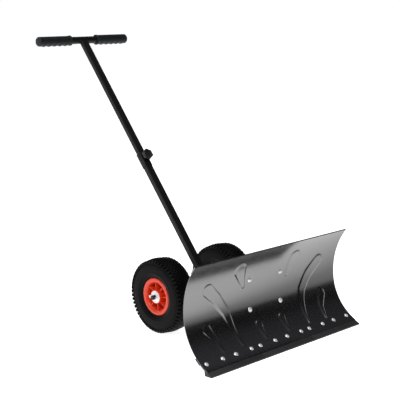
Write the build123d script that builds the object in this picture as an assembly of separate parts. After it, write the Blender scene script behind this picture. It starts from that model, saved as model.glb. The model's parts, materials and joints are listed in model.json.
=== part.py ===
from build123d import *
import os
from math import cos, radians, sin

# Wheeled snow shovel: a curved plough blade on a swivel fork, a short chassis on two
# wheels and a telescopic T-handle.  Millimetres.  X runs along the axle, the blade
# pushes towards -Y, +Z is up.  The origin is on the ground, under the middle of the
# shovel's bounding box.

os.makedirs("parts", exist_ok=True)

# ---- driving dimensions -------------------------------------------------------------
# wheels and axle
wheel_radius = 133.4
tyre_width = 82.0
track_half = 150.0  # middle of each wheel from the centre plane
axle_y = -75.24
axle_z = wheel_radius
axle_rod_radius = 8.0
axle_rod_half = 201.0
axle_tube_radius = 13.0
# blade
blade_width = 740.0
sheet = 1.5  # thickness of the steel sheet
blade_foot_y = axle_y - 447.6  # lower edge of the sheet, front face
blade_foot_z = 14.6
foot_slope = radians(26.1)  # slope of the sheet at its lower edge
lower_arc = 190.0  # developed length of the lower, tighter curve
lower_radius = 180.0
upper_arc = 186.0
upper_radius = 244.0
emboss = 3.0  # how far the pressed ribs stand out
# wear strips
strip_count = 3
strip_gap = 0.7
strip_bolt_s = 30.0  # developed distance from the lower edge
strip_bolt_x = (-102.0, -30.0, 30.0, 102.0)  # in each strip
strip_web = 3.0
strip_bead = 6.5
strip_edge = 4.4  # height of the strips' blunt front edge
# fork and swivel
bracket_x = 75.5
bracket_s = (156.0, 257.0)
strap = 4.0
swivel_y = -330.0
swivel_angle = 30.0  # each way
lock_radius = 62.0
fork_plate = 6.0
beam_z = axle_z + 21.0
beam_size = 40.0
beam_wall = 2.5
swivel_gap = 0.3
bush_flange = 2.0
# handle
lean = radians(37.77)  # from the vertical
crossbar_y = axle_y + 595.6
crossbar_z = 1019.6
crossbar_radius = 14.0
crossbar_wall = 1.5
grip_end = 213.0
grip_length = 152.0
grip_radius = 18.3
grip_collar = 7.0  # length of the collar at a grip's inner end
grip_collar_rise = 1.6
bar_half = grip_end - 14.0  # the bar's ends are inside the grips
upper_tube_size = (30.4, 16.8)
upper_tube_wall = 1.2
slide_gap = 0.2
lower_tube_wall = 0.9
collar_wall = 1.8
collar_top = 532.7  # distances below the crossbar, along the handle
collar_length = 60.0
clamp_at = 554.7
upper_tube_end = 733.7
# knobs
knob_radius = 21.0
knob_height = 20.0
stud_radius = 4.0
stud_clearance = 0.05

blade_arc = lower_arc + upper_arc
top_slope = foot_slope + lower_arc / lower_radius
beam_top = beam_z + beam_size / 2


hole_cut = 40.0  # longer than any plate that a hole goes through
sheet_cut = 12.0  # through the sheet, but short of what is near it


# ---- helpers ------------------------------------------------------------------------
def save(name, shape):
    export_step(shape, f"parts/{name}.step")


def group(solids):
    """Separate solids kept together in one node."""
    return Compound([item for solid in solids for item in solid.solids()])


def ring(outer, inner, length):
    return Cylinder(outer, length) - Cylinder(inner, length * 2)


def hex_nut(across_flats, bore, height):
    outline = RegularPolygon(across_flats / 2, 6, major_radius=False)
    return extrude(outline, height) - Cylinder(bore, height * 3)


def along_x(x, y, z):
    """A plane at a point, with its normal along +X."""
    return Plane(origin=(x, y, z), x_dir=(0, 1, 0), z_dir=(1, 0, 0))


def plate_yz(points, x, thickness):
    """A flat plate in a YZ plane, centred on x."""
    outline = make_face(Polyline(*points, close=True))
    return extrude(Plane.YZ.offset(x - thickness / 2) * outline, thickness)


# ---- blade surface ------------------------------------------------------------------
def slope(s):
    """Slope of the sheet at the developed distance s from its lower edge."""
    if s <= 0:
        return foot_slope
    if s <= lower_arc:
        return foot_slope + s / lower_radius
    return top_slope + (s - lower_arc) / upper_radius


def blade_point(s, back=0.0):
    """(y, z) on the blade, a distance back behind its front face."""
    y = blade_foot_y + min(s, 0) * cos(foot_slope)
    z = blade_foot_z + min(s, 0) * sin(foot_slope)
    low = slope(min(max(s, 0), lower_arc))
    y += lower_radius * (sin(low) - sin(foot_slope))
    z += lower_radius * (cos(foot_slope) - cos(low))
    high = slope(max(s, lower_arc))
    y += upper_radius * (sin(high) - sin(top_slope))
    z += upper_radius * (cos(top_slope) - cos(high))
    a = slope(s)
    return y + back * sin(a), z - back * cos(a)


def blade_edges(s_from, s_to, back):
    """Arcs that follow the blade's section at one offset."""
    joints = [s_from] + [s for s in (0.0, lower_arc) if s_from < s < s_to] + [s_to]
    edges = []
    for a, b in zip(joints, joints[1:]):
        if b <= 0:
            edges.append(Line(blade_point(a, back), blade_point(b, back)))
            continue
        middle = blade_point((a + b) / 2, back)
        edges.append(ThreePointArc(blade_point(a, back), middle, blade_point(b, back)))
    return edges


def blade_band(s_from, s_to, near, far, width, x=0.0):
    """A curved slab that follows the blade between two offsets."""
    outline = blade_edges(s_from, s_to, near) + blade_edges(s_from, s_to, far)
    outline.append(Line(blade_point(s_from, near), blade_point(s_from, far)))
    outline.append(Line(blade_point(s_to, near), blade_point(s_to, far)))
    face = make_face(outline)
    return extrude(Plane.YZ.offset(x - width / 2) * face, width)


def on_blade(x, s, back=0.0):
    """Placement on the blade with its Z axis out of the front face."""
    y, z = blade_point(s, back)
    a = slope(s)
    return Plane(origin=(x, y, z), x_dir=(1, 0, 0), z_dir=(0, -sin(a), cos(a))).location


# ---- blade --------------------------------------------------------------------------
# Pressed ribs: each is a leaf with a round head at the top and a narrow tail, given as
# circles (x, s, radius) along its middle line.  Every leaf has a mirror twin.
leaf_lines = {
    "long": [(270, 263, 22), (225, 222, 19), (189, 173, 16), (180, 143, 13), (173, 104, 8), (165, 48, 3)],
    "upper": [(134, 306, 24), (106, 243, 7)],
    "outer": [(285, 137, 17), (263, 96, 10), (254, 46, 3)],
    "inner": [(57, 100, 14), (57, 46, 3)],
}
emboss_wall_inset = 1.5


def leaf_outline(line, inset):
    spots = [(x, blade_point(s)[1], radius - inset) for x, s, radius in line]
    outline = Sketch()
    for (xa, za, ra), (xb, zb, rb) in zip(spots, spots[1:]):
        pair = Pos(xa, za) * Circle(ra) + Pos(xb, zb) * Circle(rb)
        outline += make_hull(pair.edges())
    return outline


def leaf_prism(line, inset, side):
    """The leaf's outline carried through the blade along Y."""
    depth = 140.0
    face = leaf_outline(line, inset)
    if side < 0:
        face = mirror(face, Plane.YZ)
    back_plane = Plane(origin=(0, blade_foot_y + depth, 0), x_dir=(1, 0, 0), z_dir=(0, -1, 0))
    return extrude(back_plane * face, depth + 20.0)


def strip_bolt_places():
    third = blade_width / strip_count
    for k in range(strip_count):
        middle = (k - (strip_count - 1) / 2) * third
        for dx in strip_bolt_x:
            yield middle + dx


strip_bolt_radius = 3.0
bracket_bolt_radius = 4.0
hem_width = 30.0
hem_thickness = 2.5
emboss_margin = 20.0  # no rib comes nearer to the lower or upper edge


def square_hole(x, s, radius):
    """Room in the sheet for a carriage bolt's neck."""
    return on_blade(x, s) * Box(2 * radius, 2 * radius, sheet_cut)


def make_blade_sheet():
    body = blade_band(0, blade_arc, 0, sheet, blade_width)
    hem = blade_band(blade_arc - hem_width, blade_arc, sheet, sheet + hem_thickness, blade_width)
    body += hem
    ribbed = (emboss_margin, blade_arc - emboss_margin)
    front = blade_band(*ribbed, -emboss, 0, blade_width)
    hollow = blade_band(*ribbed, -emboss + sheet, sheet, blade_width)
    for line in leaf_lines.values():
        for side in (-1, 1):
            body += front & leaf_prism(line, 0, side)
            body -= hollow & leaf_prism(line, emboss_wall_inset, side)
    for x in strip_bolt_places():
        body -= square_hole(x, strip_bolt_s, strip_bolt_radius)
    for x in (-bracket_x, bracket_x):
        for s in bracket_s:
            body -= square_hole(x, s, bracket_bolt_radius)
    return body


lip_back_y = blade_foot_y + 12.6  # rear edge of the strip's ground face
web_from = 13.0
bead_from = 37.0
bead_to = 61.0


def strip_face():
    """Section of a wear strip: ground lip with a blunt edge, thin web and thick upper bead."""
    near = sheet
    web = near + strip_web
    bead = near + strip_bead
    reach = (blade_point(0, near)[1] - strip_edge) / sin(foot_slope)
    tip = blade_point(-reach, near)
    heel = blade_point(web_from, web)
    outline = blade_edges(-reach, bead_to, near)
    outline.append(Line(blade_point(bead_to, near), blade_point(bead_to, bead)))
    outline += blade_edges(bead_from, bead_to, bead)
    outline.append(Line(blade_point(bead_from, bead), blade_point(bead_from, web)))
    outline += blade_edges(web_from, bead_from, web)
    outline.append(Line(heel, (lip_back_y, 0)))
    outline.append(Line((lip_back_y, 0), (tip[0], 0)))
    outline.append(Line((tip[0], 0), tip))
    return make_face(outline)


def make_wear_strip(k):
    third = blade_width / strip_count
    x = (k - (strip_count - 1) / 2) * third
    width = third - strip_gap
    body = extrude(Plane.YZ.offset(x - width / 2) * strip_face(), width)
    for dx in strip_bolt_x:
        body -= on_blade(x + dx, strip_bolt_s) * Cylinder(strip_bolt_radius + 0.3, hole_cut)
    return body


head_lift = 0.3  # the flat underside of a head clears the concave sheet
neck_gap = 0.15  # between a square neck and what is behind the sheet
strip_washer = 1.2
strip_nut = 5.0
bracket_washer = 1.6
bracket_nut = 6.5


def carriage_bolt(radius, head_radius, head_height, length):
    """Domed bolt with a square neck; Z = 0 on the blade's front face."""
    dome = revolve(
        make_face(
            [
                ThreePointArc(
                    (0, head_height), (head_radius * 0.62, head_height * 0.74), (head_radius, 0)
                ),
                Line((head_radius, 0), (0, 0)),
                Line((0, 0), (0, head_height)),
            ]
        ),
        Axis.Y,
    )
    dome = Rot(90, 0, 0) * dome
    neck_height = sheet + head_lift - neck_gap
    neck = Pos(0, 0, head_lift - neck_height / 2) * Box(2 * radius, 2 * radius, neck_height)
    shank = Pos(0, 0, head_lift - length / 2) * Cylinder(radius, length)
    return Pos(0, 0, head_lift) * dome + neck + shank


def make_strip_fasteners():
    bolt = carriage_bolt(strip_bolt_radius, 7.5, 3.4, 14.0)
    back = -(sheet + strip_web)
    washer = Pos(0, 0, back - strip_washer / 2) * ring(5.8, strip_bolt_radius + 0.2, strip_washer)
    nut = Pos(0, 0, back - strip_washer - strip_nut) * hex_nut(10, strip_bolt_radius, strip_nut)
    places = [on_blade(x, strip_bolt_s) for x in strip_bolt_places()]
    save("strip_bolts", group(place * bolt for place in places))
    save("strip_washers", group(place * washer for place in places))
    save("strip_nuts", group(place * nut for place in places))


# ---- bracket and swivel fork ----------------------------------------------------------
strap_width = 32.0
strap_span = (136.0, 277.0)
strap_back = sheet + strap
lower_plate_top = beam_z - beam_size / 2 - bush_flange - swivel_gap
upper_plate_bottom = beam_z + beam_size / 2 + bush_flange + swivel_gap


def make_bracket_strap(side):
    body = blade_band(*strap_span, sheet, strap_back, strap_width, side * bracket_x)
    for s in bracket_s:
        body -= on_blade(side * bracket_x, s) * Cylinder(bracket_bolt_radius + 0.5, hole_cut)
    return body


def make_bracket_fasteners():
    bolt = carriage_bolt(bracket_bolt_radius, 9.0, 4.2, 20.0)
    washer = ring(8.0, bracket_bolt_radius + 0.2, bracket_washer)
    washer = Pos(0, 0, -strap_back - bracket_washer / 2) * washer
    nut = hex_nut(13, bracket_bolt_radius, bracket_nut)
    nut = Pos(0, 0, -strap_back - bracket_washer - bracket_nut) * nut
    places = [on_blade(x, s) for x in (-bracket_x, bracket_x) for s in bracket_s]
    save("bracket_bolts", group(place * bolt for place in places))
    save("bracket_washers", group(place * washer for place in places))
    save("bracket_nuts", group(place * nut for place in places))


fork_half = bracket_x - 9.5  # keeps the plates clear of the bracket bolts
fork_front_y = -430.0
fork_shoulder_y = -403.0
web_x = 62.5
web_rear_y = -368.0
web_thickness = 5.0
pivot_eye_radius = 26.0
pivot_radius = 6.0
sector_margin = 14.0  # metal outside the lock slot
sector_end = 14.0  # degrees past each end of the slot


def fork_outline():
    """Plan of a fork plate: wide at the straps, narrowing to the pivot eye."""
    neck_half = 1.15 * pivot_eye_radius
    neck_y = swivel_y - 0.6 * pivot_eye_radius
    front = Polyline(
        (-fork_half, fork_front_y),
        (fork_half, fork_front_y),
        (fork_half, fork_shoulder_y),
        (neck_half, neck_y),
        (-neck_half, neck_y),
        (-fork_half, fork_shoulder_y),
        close=True,
    )
    return make_face(front) + Pos(0, swivel_y) * Circle(pivot_eye_radius)


def lock_sector():
    """The index part of the upper plate, behind the pivot."""
    radius = lock_radius + sector_margin
    reach = radians(swivel_angle + sector_end)
    left = (-radius * sin(reach), swivel_y + radius * cos(reach))
    right = (radius * sin(reach), swivel_y + radius * cos(reach))
    root = (0, swivel_y - 20)
    outline = [
        Line(root, left),
        ThreePointArc(left, (0, swivel_y + radius), right),
        Line(right, root),
    ]
    return make_face(outline)


def lock_slot():
    a = radians(swivel_angle)
    ends = [(lock_radius * sin(t), swivel_y + lock_radius * cos(t)) for t in (-a, 0, a)]
    return SlotArc(ThreePointArc(*ends), 2 * (stud_radius + 0.5))


def cut_at_straps(plate):
    """Takes off what reaches in front of the straps' rear faces."""
    return plate - blade_band(90, 320, -60, strap_back, blade_width)


def make_fork_plate(bottom, outline):
    plate = extrude(Plane.XY.offset(bottom) * outline, fork_plate)
    plate -= Pos(0, swivel_y, bottom) * Cylinder(pivot_radius, hole_cut)
    return cut_at_straps(plate)


def make_fork_web(side):
    """Upright plate between the two fork plates."""
    points = [
        (fork_front_y, lower_plate_top),
        (web_rear_y, lower_plate_top),
        (web_rear_y, upper_plate_bottom),
        (fork_front_y, upper_plate_bottom),
    ]
    return cut_at_straps(plate_yz(points, side * web_x, web_thickness))


def make_pivot():
    top = upper_plate_bottom + fork_plate
    bottom = lower_plate_top - fork_plate
    washer = 2.5
    head_height = 7.5
    nut_height = 10.0
    shank_top = top + washer
    shank_bottom = bottom - washer - nut_height - 4.0
    shank = Pos(0, swivel_y, (shank_top + shank_bottom) / 2) * Cylinder(
        pivot_radius, shank_top - shank_bottom
    )
    head = Pos(0, swivel_y, shank_top) * extrude(
        RegularPolygon(9.5, 6, major_radius=False), head_height
    )
    save("pivot_bolt", shank + head)
    washers = [
        Pos(0, swivel_y, top + washer / 2) * ring(14, pivot_radius, washer),
        Pos(0, swivel_y, bottom - washer / 2) * ring(14, pivot_radius, washer),
    ]
    save("pivot_washers", group(washers))
    nut = Pos(0, swivel_y, bottom - washer - nut_height) * hex_nut(19, pivot_radius, nut_height)
    save("pivot_nut", nut)


# ---- chassis --------------------------------------------------------------------------
sleeve_outer = 17.0
bush_outer = 8.0
beam_rear_y = axle_y - 20.0
gusset = 5.0


def make_chassis_beam():
    front_y = swivel_y
    length = beam_rear_y - front_y
    middle = (beam_rear_y + front_y) / 2
    inside = beam_size - 2 * beam_wall
    place = Pos(0, middle, beam_z) * Rot(90, 0, 0)
    outer = place * extrude(RectangleRounded(beam_size, beam_size, 4), length / 2, both=True)
    inner = place * extrude(RectangleRounded(inside, inside, 2), length, both=True)
    beam = outer - inner
    beam -= Pos(0, swivel_y, beam_z) * Cylinder(sleeve_outer, beam_size * 2)
    beam -= Pos(0, swivel_y - beam_size / 2, beam_z) * Box(beam_size * 2, beam_size, beam_size * 2)
    lock_y = swivel_y + lock_radius
    beam -= Pos(0, lock_y, beam_top) * Cylinder(stud_radius + 0.5, 20)
    return beam


def make_beam_cap():
    inside = beam_size - 2 * beam_wall
    place = Pos(0, beam_rear_y, beam_z) * Rot(-90, 0, 0)
    flange = extrude(RectangleRounded(beam_size, beam_size, 4), 3)
    plug = extrude(RectangleRounded(inside, inside, 2), -12)
    return place * (flange + plug)


def make_pivot_sleeve():
    return Pos(0, swivel_y, beam_z) * ring(sleeve_outer, bush_outer, beam_size)


def make_pivot_bushes():
    bore = pivot_radius + stud_clearance
    bush = Pos(0, 0, beam_size / 2 + bush_flange / 2) * Cylinder(sleeve_outer, bush_flange)
    bush += Pos(0, 0, beam_size / 2 - 6) * Cylinder(bush_outer, 12)
    bush -= Cylinder(bore, beam_size * 3)
    place = Pos(0, swivel_y, beam_z)
    return group([place * bush, place * Rot(180, 0, 0) * bush])


def make_axle_gusset(side):
    """Plate welded to one side of the beam, with the axle tube through its rear lower end."""
    front_y = axle_y - 105
    rear_y = axle_y + 24
    top = beam_top - 4
    bottom = axle_z - 24
    points = [
        (front_y, top),
        (front_y, beam_z - 12),
        (axle_y - 26, bottom),
        (axle_y + 10, bottom),
        (rear_y, bottom + 14),
        (rear_y, axle_z + 12),
        (axle_y - 12, top),
    ]
    plate = plate_yz(points, side * (beam_size + gusset) / 2, gusset)
    return plate - along_x(0, axle_y, axle_z).location * Cylinder(axle_tube_radius, 4 * beam_size)


inner_race_reach = 36.9  # from the middle of a wheel to the end of an inner race
inner_race_length = 12.0
axle_washer = 2.5
axle_tube_half = track_half - inner_race_reach - axle_washer
split_pin_radius = 1.8
split_pin_length = 30.0
split_pin_eye = 3.5


def make_axle_parts():
    centre = along_x(0, axle_y, axle_z).location
    save("axle_tube", centre * ring(axle_tube_radius, axle_rod_radius, 2 * axle_tube_half))
    rod = chamfer(Cylinder(axle_rod_radius, 2 * axle_rod_half).edges().filter_by(GeomType.CIRCLE), 1.5)
    pin_x = track_half + inner_race_reach + axle_washer + 4.0
    pin_hole = Rot(0, 90, 0) * Cylinder(split_pin_radius, hole_cut)
    for x in (-pin_x, pin_x):
        rod -= Pos(0, 0, x) * pin_hole
    save("axle_rod", centre * rod)
    shank = Rot(0, 90, 0) * Cylinder(split_pin_radius, split_pin_length)
    eye = Pos(split_pin_length / 2 + split_pin_eye - 0.5, 0, 0) * Torus(split_pin_eye, split_pin_radius)
    save("split_pins", group(centre * Pos(0, 0, x) * (shank + eye) for x in (-pin_x, pin_x)))
    reach = inner_race_reach + axle_washer / 2
    washers = [
        centre * Pos(0, 0, side * (track_half + end * reach)) * ring(15, axle_rod_radius, axle_washer)
        for side in (-1, 1)
        for end in (-1, 1)
    ]
    save("axle_washers", group(washers))


# ---- wheels ---------------------------------------------------------------------------
rim_half = 35.0
rim_radius = 67.3
rim_barrel = 55.0
rim_dish = 48.5
lip = 6.0
hub_outer = 25.0
hub_bore = 17.5
web_plate = 6.0
rib_thickness = 3.2
rib_count = 8
rib_first = 5.0  # degrees
race_outer = 10.2
cup_bore = 14.8


def spun(face):
    """A section drawn as (radius, across) turned about the wheel's axis."""
    return revolve(Plane.XZ * face, Axis.Z)


def tyre_outline():
    """Outside of the tyre in section: beads inside the rim's lips, round shoulders."""
    bead = rim_half - lip
    sidewall = tyre_width / 2
    side = [
        ((rim_barrel, bead), (rim_radius + 0.4, bead)),
        ((rim_radius + 0.4, bead), (rim_radius + 0.9, rim_half - 1.0)),
    ]
    shoulder = (wheel_radius - 8.5, 36.5)
    edges = []
    for k in (1, -1):
        edges += [Line((a[0], k * a[1]), (b[0], k * b[1])) for a, b in side]
        start = side[-1][1]
        edges.append(
            ThreePointArc((start[0], k * start[1]), (93, k * sidewall), (shoulder[0], k * shoulder[1]))
        )
    edges.append(ThreePointArc(shoulder, (wheel_radius, 0), (shoulder[0], -shoulder[1])))
    edges.append(Line((rim_barrel, bead), (rim_barrel, -bead)))
    return make_face(edges)


def chamber_outline():
    """The air chamber, open to the rim between the beads."""
    neck = 20.0
    outer = (wheel_radius - 17, 28.0)
    edges = []
    for k in (1, -1):
        edges.append(Line((rim_barrel, k * neck), (64, k * neck)))
        edges.append(ThreePointArc((64, k * neck), (90, k * 34), (outer[0], k * outer[1])))
    edges.append(ThreePointArc(outer, (wheel_radius - 8, 0), (outer[0], -outer[1])))
    edges.append(Line((rim_barrel, neck), (rim_barrel, -neck)))
    return make_face(edges)


valve_angle = rib_first + 360 / rib_count / 2
valve_across = -13.0  # the valve is on the side that faces the chassis
valve_radius = 4.0


def valve_place():
    return Rot(0, 0, valve_angle) * Pos(0, 0, valve_across) * Rot(0, 90, 0)


def make_rim():
    barrel = make_face(
        Polyline(
            (rim_dish, rim_half),
            (rim_radius, rim_half),
            (rim_radius, rim_half - lip),
            (rim_barrel, rim_half - lip),
            (rim_barrel, -rim_half + lip),
            (rim_radius, -rim_half + lip),
            (rim_radius, -rim_half),
            (rim_dish, -rim_half),
            close=True,
        )
    )
    lip_corners = barrel.vertices().filter_by(lambda v: abs(v.Y) > rim_half - 0.1)
    barrel = fillet(lip_corners, 2.4)
    hub = Pos((hub_outer + hub_bore) / 2, 0) * Rectangle(hub_outer - hub_bore, 2 * rim_half)
    span = rim_dish - hub_outer + 2
    middle = (rim_dish + hub_outer) / 2
    web = Pos(middle, 0) * Rectangle(span, web_plate)
    rim = spun(barrel) + spun(hub) + spun(web)
    for k in range(rib_count):
        rib = Pos(middle, 0, 0) * Box(span, rib_thickness, 2 * (rim_half - lip))
        rim += Rot(0, 0, rib_first + 360 / rib_count * k) * rib
    rim -= valve_place() * Pos(0, 0, rim_barrel) * Cylinder(valve_radius, 20)
    return rim


def make_tyre():
    return spun(tyre_outline() - chamber_outline())


def make_inner_tube():
    chamber = chamber_outline()
    return spun(chamber - offset(chamber, -2.0))


def make_valve():
    stem_top = rim_barrel - 0.3
    stem = Pos(0, 0, stem_top - 11) * Cylinder(valve_radius, 22)
    cap = Pos(0, 0, stem_top - 25) * Cylinder(3.2, 8)
    return valve_place() * (stem + cap)


def make_cups():
    cup = ring(hub_bore, cup_bore, 11)
    flange = Pos(0, 0, 6.25) * ring(21.5, race_outer + 0.4, 1.5)
    one = Pos(0, 0, rim_half - 5.5) * (cup + flange)
    return [one, Rot(180, 0, 0) * one]


def make_ball_rings():
    """Each bearing's balls with the cage that spaces them."""
    ball_count = 9
    pitch = (race_outer + cup_bore) / 2
    ball = 2.0
    cage = ring(pitch + 0.8, pitch - 0.8, 1.6)
    for k in range(ball_count):
        cage += Rot(0, 0, 360 / ball_count * k) * Pos(pitch, 0, 0) * Sphere(ball)
    one = Pos(0, 0, rim_half - 5.5) * cage
    return [one, Rot(180, 0, 0) * one]


def make_inner_races():
    races = []
    for side in (-1, 1):
        for end in (-1, 1):
            x = side * track_half + end * (inner_race_reach - inner_race_length / 2)
            place = along_x(x, axle_y, axle_z).location
            races.append(place * ring(race_outer, axle_rod_radius, inner_race_length))
    return group(races)


def make_wheel(name, side):
    """All that turns with one wheel; the section's inner side faces the chassis."""
    place = along_x(side * track_half, axle_y, axle_z).location
    if side < 0:
        place = place * Rot(180, 0, 0)
    save(f"rim_{name}", place * make_rim())
    save(f"tyre_{name}", place * make_tyre())
    save(f"inner_tube_{name}", place * make_inner_tube())
    save(f"valve_{name}", place * make_valve())
    save(f"bearing_cups_{name}", group(place * cup for cup in make_cups()))
    save(f"ball_rings_{name}", group(place * balls for balls in make_ball_rings()))


# ---- handle ---------------------------------------------------------------------------
# In the handle's own frame Z runs up the tubes from the crossbar's axis, X is the
# shovel's X and -Y faces forwards.
handle = Plane(origin=(0, crossbar_y, crossbar_z), x_dir=(1, 0, 0), z_dir=(0, sin(lean), cos(lean))).location
lower_inner = tuple(size + 2 * slide_gap for size in upper_tube_size)
lower_outer = tuple(size + 2 * lower_tube_wall for size in lower_inner)
collar_outer = tuple(size + 2 * collar_wall for size in lower_outer)
corner = 2.5


def rect_bar(size, radius, start, end):
    """A bar of rounded rectangular section along the handle, start and end below the crossbar."""
    return Pos(0, 0, -end) * extrude(RectangleRounded(size[0], size[1], radius), end - start)


def make_upper_tube():
    inner = tuple(size - 2 * upper_tube_wall for size in upper_tube_size)
    tube = rect_bar(upper_tube_size, corner, 0, upper_tube_end)
    tube -= rect_bar(inner, corner - upper_tube_wall, -5, upper_tube_end + 5)
    tube -= Rot(0, 90, 0) * Cylinder(crossbar_radius, 100)
    return handle * tube


def make_upper_tube_plug():
    inner = tuple(size - 2 * upper_tube_wall for size in upper_tube_size)
    plug = rect_bar(inner, corner - upper_tube_wall, upper_tube_end - 15, upper_tube_end)
    plug += rect_bar(upper_tube_size, corner, upper_tube_end, upper_tube_end + 3)
    return handle * plug


def make_lower_tube():
    foot = 1095.0
    tube = rect_bar(lower_outer, corner + slide_gap + lower_tube_wall, collar_top, foot)
    tube -= rect_bar(lower_inner, corner + slide_gap, collar_top - 5, foot + 5)
    tube -= Pos(0, -lower_outer[1] / 2, -clamp_at) * Rot(90, 0, 0) * Cylinder(stud_radius + 0.5, 8)
    tube = handle * tube
    return tube - Pos(0, 0, beam_top - 100) * Box(400, 1200, 200)


def make_collar():
    radius = corner + slide_gap + lower_tube_wall
    end = collar_top + collar_length
    collar = rect_bar(collar_outer, radius + collar_wall, collar_top, end)
    collar -= rect_bar(lower_outer, radius, collar_top - 5, end + 5)
    collar -= Pos(0, -collar_outer[1] / 2, -clamp_at) * Rot(90, 0, 0) * Cylinder(stud_radius + 0.5, 8)
    return handle * collar


nut_height = 6.5


def make_collar_nut():
    front = -collar_outer[1] / 2
    place = Pos(0, front, -clamp_at) * Rot(90, 0, 0)
    return handle * place * hex_nut(14, stud_radius + stud_clearance, nut_height)


foot_gusset = 4.0
foot_gusset_rise = 34.0  # along the tube


def make_foot_gusset(side):
    """Plate welded to the beam and to one side of the lower tube."""
    foot = crossbar_y - (crossbar_z - beam_top) * sin(lean) / cos(lean)
    half = lower_outer[1] / 2
    top = (foot + foot_gusset_rise * sin(lean), beam_top + foot_gusset_rise * cos(lean))
    points = [
        (foot - 34, beam_top),
        (foot + 30, beam_top),
        (top[0] + half * cos(lean), top[1] - half * sin(lean)),
        (top[0] - half * cos(lean), top[1] + half * sin(lean)),
    ]
    return plate_yz(points, side * (lower_outer[0] + foot_gusset) / 2, foot_gusset)


def make_crossbar():
    tube = ring(crossbar_radius, crossbar_radius - crossbar_wall, 2 * bar_half)
    return handle * Rot(0, 90, 0) * tube


finger_first = 26.5  # from the grip's inner end
finger_pitch = 25.0
finger_count = 5
finger_length = 9.0
finger_drop = 2.5


def make_grip(side):
    """Moulded grip: collar at its inner end, finger ridges below, domed outer end."""
    inner_end = grip_end - grip_length
    body = Pos(0, 0, inner_end + (grip_length - grip_radius) / 2) * Cylinder(
        grip_radius, grip_length - grip_radius
    )
    dome = Pos(0, 0, grip_end - grip_radius) * Sphere(grip_radius)
    flange = Pos(0, 0, inner_end + grip_collar / 2) * Cylinder(grip_radius + grip_collar_rise, grip_collar)
    body += dome + flange
    for k in range(finger_count):
        at = inner_end + finger_first + finger_pitch * k
        body += Pos(-finger_drop, 0, at) * Cylinder(grip_radius - 1.0, finger_length)
    body -= Pos(0, 0, bar_half / 2) * Cylinder(crossbar_radius, bar_half)
    # local Z goes outwards along the crossbar and local -X faces the ground
    place = Plane(origin=(0, 0, 0), x_dir=(0, 0, 1), z_dir=(side, 0, 0)).location
    return Pos(0, crossbar_y, crossbar_z) * place * body


# ---- knobs ----------------------------------------------------------------------------
def bevelled_disc(radius, height, bevel):
    disc = extrude(Circle(radius), height)
    return chamfer(disc.faces().sort_by(Axis.Z)[-1].edges(), bevel)


def knob_head():
    """Six-lobed clamping knob, Z up out of its seat."""
    lobe = 8.0
    stem_height = 6.0
    top = knob_height - stem_height
    core = bevelled_disc(knob_radius - 3.5, top, 2.0)
    for k in range(6):
        core += Rot(0, 0, 60 * k) * Pos(knob_radius - lobe, 0, 0) * bevelled_disc(lobe, top, 2.0)
    return extrude(Circle(9.5), stem_height) + Pos(0, 0, stem_height) * core


def stud(length, into_head):
    """Threaded stud, modelled at its outside diameter; Z = 0 at the knob's seat."""
    return Pos(0, 0, (into_head - length) / 2) * Cylinder(stud_radius, length + into_head)


def make_knob(name, place, length):
    head = knob_head() - Cylinder(stud_radius, 24)
    save(f"{name}_head", place * head)
    save(f"{name}_stud", place * stud(length, 12))


# ---- build everything -------------------------------------------------------------------
save("blade_sheet", make_blade_sheet())
for k, name in enumerate(("left", "middle", "right")):
    save(f"wear_strip_{name}", make_wear_strip(k))
make_strip_fasteners()

for name, side in (("left", -1), ("right", 1)):
    save(f"bracket_strap_{name}", make_bracket_strap(side))
    save(f"fork_web_{name}", make_fork_web(side))
    save(f"axle_gusset_{name}", make_axle_gusset(side))
    save(f"foot_gusset_{name}", make_foot_gusset(side))
    save(f"grip_{name}", make_grip(side))
    make_wheel(name, side)
make_bracket_fasteners()
save("fork_plate_lower", make_fork_plate(lower_plate_top - fork_plate, fork_outline()))
upper_outline = fork_outline() + lock_sector() - lock_slot()
save("fork_plate_upper", make_fork_plate(upper_plate_bottom, upper_outline))
make_pivot()

save("chassis_beam", make_chassis_beam())
save("beam_cap", make_beam_cap())
save("pivot_sleeve", make_pivot_sleeve())
save("pivot_bushes", make_pivot_bushes())
make_axle_parts()
save("inner_races", make_inner_races())

save("upper_tube", make_upper_tube())
save("upper_tube_plug", make_upper_tube_plug())
save("lower_tube", make_lower_tube())
save("collar", make_collar())
save("collar_nut", make_collar_nut())
save("crossbar", make_crossbar())

clamp_seat = collar_outer[1] / 2 + nut_height + 0.5
clamp_place = handle * Pos(0, -clamp_seat, -clamp_at) * Rot(90, 0, 0)
make_knob("clamp_knob", clamp_place, clamp_seat - upper_tube_size[1] / 2 - 0.3)

lock_y = swivel_y + lock_radius
spacer = Pos(0, lock_y, beam_top + bush_flange / 2) * ring(12, stud_radius + 0.5, bush_flange)
save("lock_spacer", spacer)
lock_nut_z = beam_top - beam_wall - nut_height
save("lock_nut", Pos(0, lock_y, lock_nut_z) * hex_nut(13, stud_radius + stud_clearance, nut_height))
washer_bottom = upper_plate_bottom + fork_plate + swivel_gap
washer_height = 1.6
lock_washer = Pos(0, lock_y, washer_bottom + washer_height / 2) * ring(12, stud_radius, washer_height)
save("lock_washer", lock_washer)
lock_seat = washer_bottom + washer_height
make_knob("lock_knob", Pos(0, lock_y, lock_seat), lock_seat - lock_nut_z + 4)
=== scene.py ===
import bmesh
import bpy
import json
from math import cos, hypot, pi, radians, sin
from mathutils import Matrix, Vector


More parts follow.
